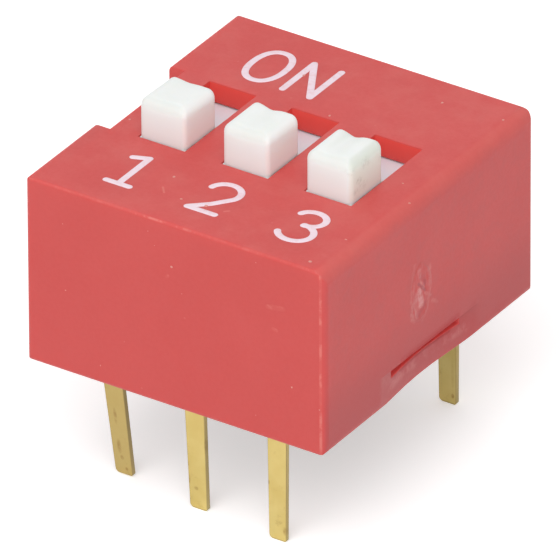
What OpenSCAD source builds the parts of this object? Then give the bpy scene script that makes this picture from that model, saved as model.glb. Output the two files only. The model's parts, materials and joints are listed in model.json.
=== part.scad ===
// Slide DIP switch with three positions, in a red snap-on cover.
// Millimetres. The origin is the middle of the cover's footprint, on the board's surface.
// +X runs from position 1 to position 3, +Y from OFF to ON, and +Z up out of the board.

/* [Layout] */
// Distance between neighbouring switch positions
pitch = 2.54; // [2.5:0.01:2.7]
// Distance between the two rows of board holes
row_spacing = 7.62; // [7.4:0.02:7.7]
// How far the legs' tips stand outside their row of holes, before the switch is pressed in
leg_spread = 0.18; // [0:0.01:0.22]
// Distance from the middle of an end position to the cover's nearer end
end_margin = 2.03; // [1.9:0.01:2.3]

/* [Cover] */
// Size of the cover across the two rows of legs
cover_width = 9.92; // [9.7:0.02:10.4]
// Height of the cover above the board
cover_height = 5.48; // [5.3:0.01:6.2]
// Thickness of the top wall
top_wall = 0.62; // [0.4:0.02:0.7]
// Thickness of the two long walls
side_wall = 0.7; // [0.5:0.02:0.78]
// Width of the bay that each slider runs in
bay_width = 2.24; // [2:0.02:2.3]
// Radius of the two upright corners by position 3
soft_corner_r = 0.2; // [0.15:0.05:0.6]
// Radius of the two upright corners by position 1
crisp_corner_r = 0.15; // [0.05:0.05:0.6]
// Radius of the top edge over the end by position 3
soft_edge_r = 0.42; // [0.1:0.02:0.5]
// Radius of the top edge over the end by position 1
crisp_edge_r = 0.16; // [0.06:0.02:0.5]
// Radius of the top edges over the two long walls
long_edge_r = 0.1; // [0.05:0.01:0.4]
// Radius of the bottom edge under the end by position 3
soft_foot_r = 0.3; // [0.05:0.01:0.4]
// Radius of the other bottom edges
foot_edge_r = 0.16; // [0.05:0.01:0.25]
// Bevel inside the cover's mouth, where the base goes in
mouth_bevel = 0.1; // [0.05:0.01:0.15]
// Depth of the notch in the end by position 1
notch_depth = 0.5; // [0.2:0.05:0.55]
// Width of the notch
notch_width = 3.5; // [2:0.1:4.5]

/* [Latch] */
// Width of the window in each end wall that the base snaps into
latch_width = 3.24; // [2:0.02:4]
// Height of the window
latch_height = 0.36; // [0.16:0.02:0.4]
// Height of the window's lower edge above the board
latch_z = 0.68; // [0.56:0.02:1]
// How far the base's nib reaches into the window
latch_reach = 0.3; // [0.15:0.05:0.35]
// Depth of the dish that hollows the end by position 3 up to its window's upper edge
dish_depth = 0.26; // [0.05:0.01:0.3]
// Length of the dish
dish_length = 4.8; // [4:0.1:6]

/* [Slider] */
// Width of the knob
knob_width = 1.4; // [1.1:0.02:1.5]
// Length of the knob along its travel
knob_length = 1.54; // [1.3:0.02:1.7]
// Height of the knob above the cover
knob_height = 1.17; // [0.4:0.01:1.6]
// Radius of the knob's upright edges
knob_corner_r = 0.13; // [0.05:0.01:0.3]
// Radius of the knob's top edges along its travel
knob_edge_r = 0.22; // [0.05:0.01:0.3]
// Radius of the knob's top edges across its travel
knob_end_edge_r = 0.12; // [0.05:0.01:0.3]
// Depth of the finger valley in the knob's top, at its end towards ON
valley_depth = 0.12; // [0.04:0.01:0.15]
// Depth of the finger valley at its end towards OFF
valley_start = 0.02; // [0.01:0.01:0.04]
// Width of the finger valley at its deep end
valley_width = 0.84; // [0.6:0.02:1]
// How far the valley lies from the knob's middle, towards position 1
valley_offset = 0.11; // [0:0.01:0.2]
// Travel from OFF to ON
travel = 1.8; // [1.5:0.02:2]
// Gap between the knob and each side of its slot
knob_side_gap = 0.02; // [0.02:0.01:0.15]
// Gap between the knob and the slot's end at either end of the travel
knob_end_gap = 0.02; // [0.01:0.01:0.06]
// How far the shutter plate always reaches past the slot's ends
shutter_overlap = 0.2; // [0.1:0.02:0.4]
// Thickness of the shutter plate
shutter_thickness = 0.55; // [0.4:0.05:0.7]
// Gap between the shutter plate and each side of its bay
shutter_side_gap = 0.12; // [0.05:0.01:0.2]
// Gap between the shutter plate and the cover's ceiling
shutter_top_gap = 0.04; // [0.02:0.01:0.08]
// Width of the block that holds the contact spring
holder_width = 1.5; // [1.3:0.05:1.7]
// Length of the block that holds the contact spring
holder_length = 2.9; // [2.6:0.1:3.2]
// Radius of the post that the contact spring is staked to
post_r = 0.2; // [0.12:0.01:0.25]
// Radius of the post's staked head
post_head_r = 0.32; // [0.28:0.01:0.36]
// Height of the post's staked head
post_head_height = 0.1; // [0.06:0.01:0.14]

/* [Contact spring] */
// Thickness of the spring strip
spring_thickness = 0.1; // [0.06:0.01:0.14]
// Width of the spring strip
spring_width = 1; // [0.8:0.05:1.2]
// Height of the bent spring, from the contact pads to its holder
spring_height = 0.55; // [0.5:0.01:0.7]
// Distance of each wiping point from the middle of the slider
wiper_reach = 1.1; // [1:0.02:1.2]
// Radius of the wiping bend, at the middle of the strip
wiper_r = 0.2; // [0.15:0.01:0.25]
// Slope of the spring's arms in degrees
arm_slope = 35; // [30:1:40]
// Length of the turned-up end of each arm
wiper_tail = 0.12; // [0.05:0.01:0.16]
// Width of the slit that parts each arm into two fingers
finger_slit = 0.2; // [0.1:0.02:0.3]
// Gap left between the wiping points and the contact pads
wiper_gap = 0.02; // [0.01:0.01:0.05]
// Gap between the post and its hole in the spring
post_gap = 0.02; // [0.01:0.01:0.04]

/* [Terminals] */
// Gap between each row of legs and the cover's long wall
leg_wall_gap = 0.15; // [0.1:0.01:0.3]
// Thickness of the terminal strip
leg_thickness = 0.14; // [0.12:0.01:0.28]
// Width of a leg where it leaves the cover
leg_width = 0.6; // [0.46:0.02:0.7]
// Width of a leg near its tip
tip_width = 0.52; // [0.36:0.02:0.56]
// Radius of the tip's corner towards position 1
tip_soft_r = 0.12; // [0.05:0.01:0.17]
// Radius of the tip's corner towards position 3
tip_crisp_r = 0.06; // [0.05:0.01:0.17]
// Length of a leg below the cover
leg_length = 3.53; // [2.8:0.01:4]
// Width of a contact pad
pad_width = 1.3; // [1.1:0.05:1.6]
// Height of the shoulder, from the pad down to the narrow leg
shoulder_drop = 0.7; // [0.5:0.05:1]
// Inner radius of the bend from pad to leg
bend_r = 0.12; // [0.05:0.01:0.2]
// Inner radius of the slight bend where a leg leaves the resin
lean_r = 0.3; // [0.1:0.05:0.5]
// How far the front pad reaches past its outermost wiping point
pad_margin = 0.24; // [0.1:0.02:0.4]
// Insulating gap between the front and the rear pad
pad_gap = 0.8; // [0.5:0.05:1]
// Inward lean of the front leg of position 1, in degrees
front_lean_1 = 8.5; // [-2:0.5:10]
// Inward lean of the front leg of position 2, in degrees
front_lean_2 = 2.5; // [-2:0.5:10]
// Inward lean of the front leg of position 3, in degrees
front_lean_3 = -0.5; // [-2:0.5:10]
// Inward lean of the rear leg of position 1, in degrees
rear_lean_1 = 1; // [-2:0.5:10]
// Inward lean of the rear leg of position 2, in degrees
rear_lean_2 = 0; // [-2:0.5:10]
// Inward lean of the rear leg of position 3, in degrees
rear_lean_3 = -1.5; // [-2:0.5:10]

/* [Base] */
// Height of the base's top above the board
base_height = 2.2; // [2:0.02:2.4]
// Gap between the base and the cover's walls
base_gap = 0.03; // [0.01:0.01:0.06]
// Gap between a terminal and the sides of its channel
channel_gap = 0.03; // [0.01:0.01:0.06]
// Gap between the base's nib and its window
nib_gap = 0.03; // [0.01:0.01:0.05]
// Bevel round the base's top
base_bevel = 0.12; // [0.05:0.01:0.2]
// Height of the resin's lower face above the board
resin_z = 0.18; // [0.14:0.02:0.3]
// Thickness of the sealing resin
resin_thickness = 0.3; // [0.2:0.02:0.42]

/* [Hidden] */

positions = 3;
past = 0.5; // how far a cut runs past the face that it opens
fine = 64; // facets of a small full circle
finest = 360; // facets of the dish's large circle
bend_steps = 8; // straight steps in a rounded bend

cover_length = (positions - 1) * pitch + 2 * end_margin;
inner_length = (positions - 1) * pitch + bay_width;
inner_width = cover_width - 2 * side_wall;
end_wall = (cover_length - inner_length) / 2;
ceiling_z = cover_height - top_wall;
dish_r = (pow(dish_length / 2, 2) + pow(dish_depth, 2)) / (2 * dish_depth);

slot_width = knob_width + 2 * knob_side_gap;
slot_length = knob_length + travel + 2 * knob_end_gap;
off_y = -travel / 2;

shutter_z = ceiling_z - shutter_top_gap;
shutter_middle_z = shutter_z - shutter_thickness / 2;
shutter_width = bay_width - 2 * shutter_side_gap;
shutter_length = slot_length + travel + 2 * shutter_overlap;
knob_top_z = cover_height + knob_height;
holder_z = base_height + spring_height;

leg_y = (inner_width - leg_thickness) / 2 - leg_wall_gap;
tip_y = row_spacing / 2 + leg_spread;
row_lean = atan((leg_y - tip_y) / leg_length);
shoulder_z = base_height - shoulder_drop;
front_pad_end = wiper_reach - travel / 2 + pad_margin;
rear_pad_end = front_pad_end + pad_gap;
base_z = resin_z + resin_thickness;

function position_x(n) = (n - (positions + 1) / 2) * pitch;

// ---- Bent strips: a path in a plane, with rounded corners and a thickness

function unit(v) = v / norm(v);
function turned(v) = [-v[1], v[0]];
function wrapped(angle) = angle > 180 ? angle - 360 : angle < -180 ? angle + 360 : angle;

// Points along an arc, with from and sweep in degrees
function arc(centre, r, from, sweep) =
    [for (i = [0 : bend_steps]) let (a = from + sweep * i / bend_steps) centre + r * [cos(a), sin(a)]];

// The corner b between a and c, rounded to radius r; a corner with no turn stays a point
function rounded(a, b, c, r) =
    let (u = unit(a - b), v = unit(c - b))
    norm(u + v) < 0.001 ? [b] :
    let (
        half = acos(u * v) / 2,
        centre = b + unit(u + v) * r / sin(half),
        start = b + u * r / tan(half) - centre,
        end = b + v * r / tan(half) - centre,
        from = atan2(start[1], start[0]),
        sweep = wrapped(atan2(end[1], end[0]) - from)
    )
    arc(centre, r, from, sweep);

// The strip's outline: the path moved half a thickness to either side
function side_of(path, distance) =
    let (last = len(path) - 1)
    [for (i = [0 : last])
        let (
            before = i == 0 ? [0, 0] : unit(path[i] - path[i - 1]),
            after = i == last ? [0, 0] : unit(path[i + 1] - path[i])
        )
        path[i] + distance * turned(unit(before + after))];
function reversed(list) = [for (i = [len(list) - 1 : -1 : 0]) list[i]];
function strip(path, thickness) =
    concat(side_of(path, thickness / 2), reversed(side_of(path, -thickness / 2)));

// A symmetrical outline from pairs of how far in its sides stand and the height
function outline(width, profile) = concat(
    [for (p = profile) [width / 2 - p[0], p[1]]],
    reversed([for (p = profile) [p[0] - width / 2, p[1]]])
);

// ---- Shared shapes

// Stands a profile drawn in Y and Z upright, and gives it a width along X
module along_x(width) {
    rotate([90, 0, 90])
        linear_extrude(height = width, center = true)
            children();
}

// Stands a profile drawn in X and Z upright, and gives it a depth along Y
module along_y(depth) {
    rotate([90, 0, 0])
        linear_extrude(height = depth, center = true)
            children();
}

module box(size, low) {
    translate([-size[0] / 2, -size[1] / 2, low])
        cube(size);
}

// A rectangle with rounded corners, whose radii run round from its lower left corner
module rounded_outline(width, low, high, radii) {
    left = -width / 2;
    right = width / 2;
    middles = [
        [left + radii[0], low + radii[0]], [right - radii[1], low + radii[1]],
        [right - radii[2], high - radii[2]], [left + radii[3], high - radii[3]]
    ];
    polygon([
        [left, middles[0][1]], [middles[0][0], low], [middles[1][0], low], [right, middles[1][1]],
        [right, middles[2][1]], [middles[2][0], high], [middles[3][0], high], [left, middles[3][1]]
    ]);
    for (i = [0 : len(radii) - 1])
        translate(middles[i])
            circle(r = radii[i], $fn = fine);
}

// A block whose sides follow a profile, given as how far in the sides stand at each height
module profiled_block(length, width, profile) {
    along = outline(length, profile);
    across = outline(width, profile);
    intersection() {
        along_y(2 * width)
            polygon(along);
        along_x(2 * length)
            polygon(across);
    }
}

// ---- Cover

// Three rounded outlines, one along each axis, and what they have in common
module cover_block() {
    long_radii = [foot_edge_r, foot_edge_r, long_edge_r, long_edge_r];
    end_radii = [foot_edge_r, soft_foot_r, soft_edge_r, crisp_edge_r];
    upright_radii = [crisp_corner_r, soft_corner_r, soft_corner_r, crisp_corner_r];
    intersection() {
        linear_extrude(height = cover_height)
            rounded_outline(cover_length, -cover_width / 2, cover_width / 2, upright_radii);
        along_y(cover_width)
            rounded_outline(cover_length, 0, cover_height, end_radii);
        along_x(cover_length)
            rounded_outline(cover_width, 0, cover_height, long_radii);
    }
}

module cover_dish() {
    translate([cover_length / 2 + dish_r - dish_depth, 0, -past])
        cylinder(h = latch_z + latch_height + past, r = dish_r, $fn = finest);
}

module cover_notch() {
    translate([notch_depth - cover_length / 2 - past, 0, 0])
        box([2 * past, notch_width, cover_height + 2 * past], -past);
}

module latch_window(side) {
    translate([side * (cover_length / 2 - end_wall / 2), 0, 0])
        box([end_wall + 2 * past, latch_width, latch_height], latch_z);
}

module cover_mouth() {
    flare = mouth_bevel + past;
    profiled_block(
        inner_length, inner_width,
        [[-flare, -past], [0, mouth_bevel], [0, base_height]]
    );
}

module cover_bay() {
    box([bay_width, inner_width, ceiling_z], 0);
    box([slot_width, slot_length, cover_height], past);
}

module cover() {
    color([0.83, 0.34, 0.33])
        difference() {
            cover_block();
            cover_mouth();
            for (n = [1 : positions])
                translate([position_x(n), 0, 0])
                    cover_bay();
            cover_notch();
            cover_dish();
            for (side = [-1, 1])
                latch_window(side);
        }
}

// ---- Base and sealing resin

// The nib's lower face is flat and catches on the window; its upper face slopes to ride in
module base_nib(side) {
    root = inner_length / 2 - base_gap - mouth_bevel;
    tip = inner_length / 2 + latch_reach;
    low = latch_z + nib_gap;
    high = latch_z + latch_height - nib_gap;
    mirror([side < 0 ? 1 : 0, 0, 0])
        along_y(latch_width - 2 * nib_gap)
            polygon([[root, low], [tip, low], [tip, (low + high) / 2], [root, high]]);
}

// The room that one terminal needs in the base, for the row at +Y
module terminal_channel(pad_end) {
    outside = inner_width / 2 + past;
    wall = leg_y - leg_thickness / 2 - channel_gap;
    wide = pad_width + 2 * channel_gap;
    translate([-wide / 2, pad_end - channel_gap, base_height - leg_thickness])
        cube([wide, outside - pad_end + channel_gap, leg_thickness + past]);
    translate([-wide / 2, wall, shoulder_z - channel_gap])
        cube([wide, outside - wall, shoulder_drop + channel_gap]);
    translate([-wide / 2, wall - bend_r, base_height - leg_thickness - bend_r])
        cube([wide, outside - wall + bend_r, bend_r + past]);
    narrow = leg_width + 2 * channel_gap;
    translate([-narrow / 2, wall, base_z - past])
        cube([narrow, outside - wall, shoulder_z - base_z + past]);
}

module base() {
    body_length = inner_length - 2 * base_gap;
    body_width = inner_width - 2 * base_gap;
    color([0.08, 0.08, 0.09])
        difference() {
            union() {
                profiled_block(
                    body_length, body_width,
                    [[0, base_z], [0, base_height - base_bevel], [base_bevel, base_height]]
                );
                for (side = [-1, 1])
                    base_nib(side);
            }
            for (n = [1 : positions])
                translate([position_x(n), 0, 0]) {
                    terminal_channel(rear_pad_end);
                    mirror([0, 1, 0])
                        terminal_channel(-front_pad_end);
                }
        }
}

// The resin is poured over the base and runs up to the cover's walls and round every leg
module sealing_resin() {
    color([0.12, 0.09, 0.07])
        difference() {
            box([inner_length, inner_width, resin_thickness], resin_z);
            for (n = [1 : positions], side = [-1, 1])
                translate([position_x(n), side * leg_y, 0])
                    box([leg_width, leg_thickness, resin_thickness + 2 * past], resin_z - past);
        }
}

// ---- Slider

// The finger valley: a cylinder laid along the knob's top and tilted, so that it deepens towards ON
module finger_valley() {
    valley_r = (pow(valley_width / 2, 2) + pow(valley_depth, 2)) / (2 * valley_depth);
    tilt = atan((valley_depth - valley_start) / knob_length);
    translate([-valley_offset, -knob_length / 2, knob_top_z - valley_start])
        rotate([-90 - tilt, 0, 0])
            translate([0, -valley_r, 0])
                cylinder(h = 4 * knob_length, r = valley_r, center = true, $fn = finest);
}

module knob() {
    low = shutter_middle_z;
    upright_radii = [for (corner = [1 : 4]) knob_corner_r];
    across_radii = [knob_corner_r, knob_corner_r, knob_edge_r, knob_edge_r];
    along_radii = [knob_corner_r, knob_corner_r, knob_end_edge_r, knob_end_edge_r];
    difference() {
        intersection() {
            translate([0, 0, low])
                linear_extrude(height = knob_top_z - low)
                    rounded_outline(knob_width, -knob_length / 2, knob_length / 2, upright_radii);
            along_y(knob_length)
                rounded_outline(knob_width, low, knob_top_z, across_radii);
            along_x(knob_width)
                rounded_outline(knob_length, low, knob_top_z, along_radii);
        }
        finger_valley();
    }
}

module actuator(n) {
    shutter_low = shutter_z - shutter_thickness;
    head_z = holder_z - spring_thickness - post_head_height;
    translate([position_x(n), off_y, 0])
        color([0.94, 0.93, 0.9]) {
            knob();
            box([shutter_width, shutter_length, shutter_thickness], shutter_low);
            box([holder_width, holder_length, shutter_middle_z - holder_z], holder_z);
            translate([0, 0, head_z]) {
                cylinder(h = shutter_middle_z - head_z, r = post_r, $fn = fine);
                cylinder(h = post_head_height, r = post_head_r, $fn = fine);
            }
        }
}

// ---- Contact spring

function spring_half_path() =
    let (
        top_z = holder_z - spring_thickness / 2,
        centre = [wiper_reach, base_height + wiper_gap + spring_thickness / 2 + wiper_r],
        wiper = arc(centre, wiper_r, 270 - arm_slope, 2 * arm_slope),
        arm_foot = wiper[0],
        arm_head = [arm_foot[0] - (top_z - arm_foot[1]) / tan(arm_slope), top_z],
        tail = wiper[bend_steps] + wiper_tail * [cos(arm_slope), sin(arm_slope)]
    )
    concat(rounded([0, top_z], arm_head, arm_foot, wiper_r), wiper, [tail]);

module contact_spring(n) {
    half = spring_half_path();
    path = concat(reversed([for (p = half) [-p[0], p[1]]]), half);
    slit_start = half[0][0];
    translate([position_x(n), off_y, 0])
        color([0.85, 0.66, 0.36])
            difference() {
                along_x(spring_width)
                    polygon(strip(path, spring_thickness));
                translate([0, 0, base_height])
                    cylinder(h = spring_height + past, r = post_r + post_gap, $fn = fine);
                for (side = [-1, 1])
                    translate([0, side * (slit_start + wiper_reach), 0])
                        box([finger_slit, 2 * wiper_reach, spring_height + past], base_height - past);
            }
}

// ---- Terminals

// The strip from the side, for the row at +Y: along the pad, down the leg, and leaning below it
function terminal_path(pad_end, lean) =
    let (
        pad_z = base_height - leg_thickness / 2,
        foot = [leg_y, 0],
        tip = foot - leg_length * [sin(lean), cos(lean)]
    )
    concat(
        [[pad_end, pad_z]],
        rounded([pad_end, pad_z], [leg_y, pad_z], foot, bend_r + leg_thickness / 2),
        rounded([leg_y, pad_z], foot, tip, lean_r + leg_thickness / 2),
        [tip]
    );

// The strip from the front: wide pad, shoulders, and a leg that narrows to a tip with two radii
module terminal_face(lean) {
    tip_z = -leg_length * cos(lean) - abs(sin(lean)) * leg_thickness / 2;
    polygon(concat(
        [[-leg_width / 2, 0], [-leg_width / 2, shoulder_z], [-pad_width / 2, shoulder_z]],
        [[-pad_width / 2, base_height], [pad_width / 2, base_height]],
        [[pad_width / 2, shoulder_z], [leg_width / 2, shoulder_z], [leg_width / 2, 0]],
        arc([tip_width / 2 - tip_crisp_r, tip_z + tip_crisp_r], tip_crisp_r, 0, -90),
        arc([tip_soft_r - tip_width / 2, tip_z + tip_soft_r], tip_soft_r, 270, -90)
    ));
}

module terminal(n, pad_end, lean) {
    color([0.85, 0.72, 0.42])
        translate([position_x(n), 0, 0])
            intersection() {
                along_x(pad_width)
                    polygon(strip(terminal_path(pad_end, lean), leg_thickness));
                along_y(2 * cover_width)
                    terminal_face(lean);
            }
}

// Each leg leans towards its row of holes, and by a few degrees of its own
module terminal_rear(n, lean) {
    terminal(n, rear_pad_end, lean + row_lean);
}

module terminal_front(n, lean) {
    mirror([0, 1, 0])
        terminal(n, -front_pad_end, lean + row_lean);
}

cover();
base();
sealing_resin();
actuator(1);  // actuator_1
actuator(2);  // actuator_2
actuator(3);  // actuator_3
contact_spring(1);  // contact_spring_1
contact_spring(2);  // contact_spring_2
contact_spring(3);  // contact_spring_3
terminal_front(1, front_lean_1);  // terminal_front_1
terminal_front(2, front_lean_2);  // terminal_front_2
terminal_front(3, front_lean_3);  // terminal_front_3
terminal_rear(1, rear_lean_1);  // terminal_rear_1
terminal_rear(2, rear_lean_2);  // terminal_rear_2
terminal_rear(3, rear_lean_3);  // terminal_rear_3
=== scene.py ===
# %% [markdown]
# # A slide DIP switch with three positions
#
# The switch is a red moulded cover, snapped over a black base. Three white sliders stand in
# slots in its top, and six gold-plated legs come out of the sealed underside.
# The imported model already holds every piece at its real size, so this lesson adds the looks:
# the soft edges of the mouldings, the printed lettering, dust and wear, and the finishes.

import json

import bmesh
import bpy
import numpy as np
from mathutils import Matrix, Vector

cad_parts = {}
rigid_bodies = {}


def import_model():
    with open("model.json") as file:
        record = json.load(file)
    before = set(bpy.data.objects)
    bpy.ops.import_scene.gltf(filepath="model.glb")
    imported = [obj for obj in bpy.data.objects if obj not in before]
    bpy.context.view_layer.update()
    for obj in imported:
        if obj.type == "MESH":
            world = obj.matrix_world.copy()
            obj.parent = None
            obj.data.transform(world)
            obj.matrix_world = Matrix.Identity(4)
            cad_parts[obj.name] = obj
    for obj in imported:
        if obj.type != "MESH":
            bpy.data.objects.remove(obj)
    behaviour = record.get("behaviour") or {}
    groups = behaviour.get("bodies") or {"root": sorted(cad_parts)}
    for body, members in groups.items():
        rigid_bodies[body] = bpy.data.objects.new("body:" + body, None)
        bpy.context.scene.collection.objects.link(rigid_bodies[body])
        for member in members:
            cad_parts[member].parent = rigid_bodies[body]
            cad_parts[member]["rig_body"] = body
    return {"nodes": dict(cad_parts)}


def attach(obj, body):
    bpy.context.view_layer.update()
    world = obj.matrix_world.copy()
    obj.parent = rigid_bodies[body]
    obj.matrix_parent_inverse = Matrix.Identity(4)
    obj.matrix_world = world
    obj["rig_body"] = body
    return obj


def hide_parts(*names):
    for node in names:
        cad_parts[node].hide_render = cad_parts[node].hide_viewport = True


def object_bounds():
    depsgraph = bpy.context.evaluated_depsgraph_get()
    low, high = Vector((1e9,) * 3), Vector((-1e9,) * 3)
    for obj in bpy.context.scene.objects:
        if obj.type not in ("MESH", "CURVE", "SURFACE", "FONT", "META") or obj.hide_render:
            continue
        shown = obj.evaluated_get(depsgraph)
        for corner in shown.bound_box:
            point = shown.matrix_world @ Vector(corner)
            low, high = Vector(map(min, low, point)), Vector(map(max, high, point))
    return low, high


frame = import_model()
cad_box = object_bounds()
MM = 0.001
print("pieces in the frame:", ", ".join(sorted(frame["nodes"])))
print("box in mm:", [[round(value / MM, 3) for value in corner] for corner in cad_box])

# %% [markdown]
# ## Sizes that the looks share
#
# The cover's faces, the window's edges, the knobs and the pitch are read from the frame. Single
# marks and motes are given one by one, measured from those or from the middle of the cover. All
# of it is in millimetres, because small parts are easier to think about that way.

# %% Measure the frame


def points_of(node):
    """All the points of a CAD node, in millimetres."""
    mesh = frame["nodes"][node].data
    flat = np.empty(3 * len(mesh.vertices), np.float32)
    mesh.vertices.foreach_get("co", flat)
    return flat.reshape(-1, 3).astype(float) / MM


def span_of(points):
    """The lowest and the highest corner of some points."""
    return points.min(axis=0), points.max(axis=0)


END_WALL_DEPTH = 0.4
WINDOW_HALF_REACH = 1.7
WINDOW_SEARCH = (0.45, 1.6)


def window_heights():
    """The lower and the upper edge of the latch window by position 3."""
    x, y, z = points_of("cover").T
    on_wall = (abs(x - COVER_HIGH[0]) < END_WALL_DEPTH) & (abs(y) < WINDOW_HALF_REACH)
    found = z[on_wall & (z > WINDOW_SEARCH[0]) & (z < WINDOW_SEARCH[1])]
    return found.min(), found.max()


COVER_LOW, COVER_HIGH = span_of(points_of("cover"))
RESIN_LOW, RESIN_HIGH = span_of(points_of("sealing_resin"))
TOP = COVER_HIGH[2]
POSITIONS = (1, 2, 3)
WINDOW_LOW, WINDOW_HIGH = window_heights()
LEG_TIP = span_of(points_of("terminal_front_2"))[0][2]
actuators = {n: points_of(f"actuator_{n}") for n in POSITIONS}
knobs = {n: span_of(p[p[:, 2] > TOP]) for n, p in actuators.items()}
knob_middle = {n: (low + high) / 2 for n, (low, high) in knobs.items()}
PITCH = knob_middle[2][0] - knob_middle[1][0]
print("cover from", COVER_LOW.round(3), "to", COVER_HIGH.round(3), "pitch", round(PITCH, 3))
print("latch window from", WINDOW_LOW.round(3), "to", WINDOW_HIGH.round(3))
print("leg tips at", LEG_TIP.round(3))
print("knob 1 from", knobs[1][0].round(3), "to", knobs[1][1].round(3))

# %% [markdown]
# ## The camera
#
# A small part is usually pictured with a long lens from half a metre away, which leaves its
# edges nearly parallel. The camera stands to the right of the front, looks down by about
# thirty degrees, and frames a square a little over fourteen millimetres wide. Its three axes
# are worked out and written into its matrix, so that the slight tilt of the picture is kept
# too. The lamp's matrix is made by the same helper.

# %% Place the camera
AZIMUTH = np.radians(33.14)
ELEVATION = np.radians(30.78)
TILT = np.radians(-0.25)
DISTANCE = 500 * MM
VIEW_WIDTH = 14.452 * MM
SENSOR_WIDTH = 36.0
AIM_RIGHT = -0.024 * MM
AIM_UP = 1.181 * MM


def camera_axes(azimuth, elevation, tilt):
    """The camera's right, up and backward axes.

    Backward points from the object to the camera. Right lies level before it is turned by
    the tilt, and up is square to both.
    """
    backward = np.array([
        np.sin(azimuth) * np.cos(elevation),
        -np.cos(azimuth) * np.cos(elevation),
        np.sin(elevation),
    ])
    level = np.array([np.cos(azimuth), np.sin(azimuth), 0.0])
    above = np.cross(backward, level)
    right = np.cos(tilt) * level + np.sin(tilt) * above
    return right, np.cross(backward, right), backward


def standing(right, up, backward, place):
    """The matrix of a camera or a lamp with these axes, at a place."""
    columns = np.column_stack([right, up, backward, place])
    return Matrix([*columns.tolist(), [0, 0, 0, 1]])


right, up, backward = camera_axes(AZIMUTH, ELEVATION, TILT)
place = AIM_RIGHT * right + AIM_UP * up + DISTANCE * backward
camera = bpy.data.objects.new("camera", bpy.data.cameras.new("camera"))
camera.data.sensor_width = SENSOR_WIDTH
camera.data.lens = SENSOR_WIDTH * DISTANCE / VIEW_WIDTH
camera.matrix_world = standing(right, up, backward, place)
bpy.context.scene.collection.objects.link(camera)
bpy.context.scene.camera = camera
print("lens", round(camera.data.lens, 1), "mm, camera at", (place / MM).round(1))

# %% [markdown]
# ## Shader maths as Python
#
# A finish is a sum of masks: how worn, how dusty, how far from an edge. Typing each sum as a
# chain of nodes hides the idea, so one small class wraps a socket and lets Python's own
# operators add the Math nodes. Its node() method makes any other node.

# %% Wrap a socket


class Wire:
    """A socket in a material's node tree, for use in plain expressions."""

    def __init__(self, tree, socket=None):
        self.tree = tree
        self.socket = socket

    def node(self, kind, settings=None, inputs=None, output=0):
        """Makes a node: its settings first, then the values or links of its sockets."""
        made = self.tree.nodes.new("ShaderNode" + kind)
        for name, value in (settings or {}).items():
            setattr(made, name, value)
        for name, value in (inputs or {}).items():
            if isinstance(value, Wire):
                self.tree.links.new(value.socket, made.inputs[name])
            else:
                made.inputs[name].default_value = value
        return Wire(self.tree, made.outputs[output] if made.outputs else None)

    def math(self, operation, *values):
        return self.node("Math", {"operation": operation}, dict(enumerate(values)))

    def __add__(self, other):
        return self.math("ADD", self, other)

    __radd__ = __add__

    def __sub__(self, other):
        return self.math("SUBTRACT", self, other)

    def __rsub__(self, other):
        return self.math("SUBTRACT", other, self)

    def __mul__(self, other):
        return self.math("MULTIPLY", self, other)

    __rmul__ = __mul__

    def __truediv__(self, other):
        return self.math("DIVIDE", self, other)

    def __abs__(self):
        return self.math("ABSOLUTE", self)

    def root(self):
        return self.math("SQRT", self)

    def least(self, other):
        return self.math("MINIMUM", self, other)

    def most(self, other):
        return self.math("MAXIMUM", self, other)

    def ramp(self, start, end):
        """0 at start, 1 at end and smooth between; start may be the larger."""
        return self.node(
            "MapRange",
            {"interpolation_type": "SMOOTHSTEP"},
            {"Value": self, "From Min": start, "From Max": end},
        )


def paint(red, green, blue):
    """A colour from its 0 to 255 screen values, as the linear values that shaders use."""
    screen = np.array([red, green, blue]) / 255
    linear = np.where(screen <= 0.04045, screen / 12.92, ((screen + 0.055) / 1.055) ** 2.4)
    return (*linear.tolist(), 1.0)


print("mid grey is", paint(128, 128, 128)[0])

# %% [markdown]
# ## Where a pattern sits
#
# Every pattern below reads Object coordinates, turned into millimetres. They stay with the
# piece as it slides, and they are the same numbers as the sizes above, so a mask can be put
# at the cover's edge or on the third knob by subtraction.

# %% Start a finish


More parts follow.
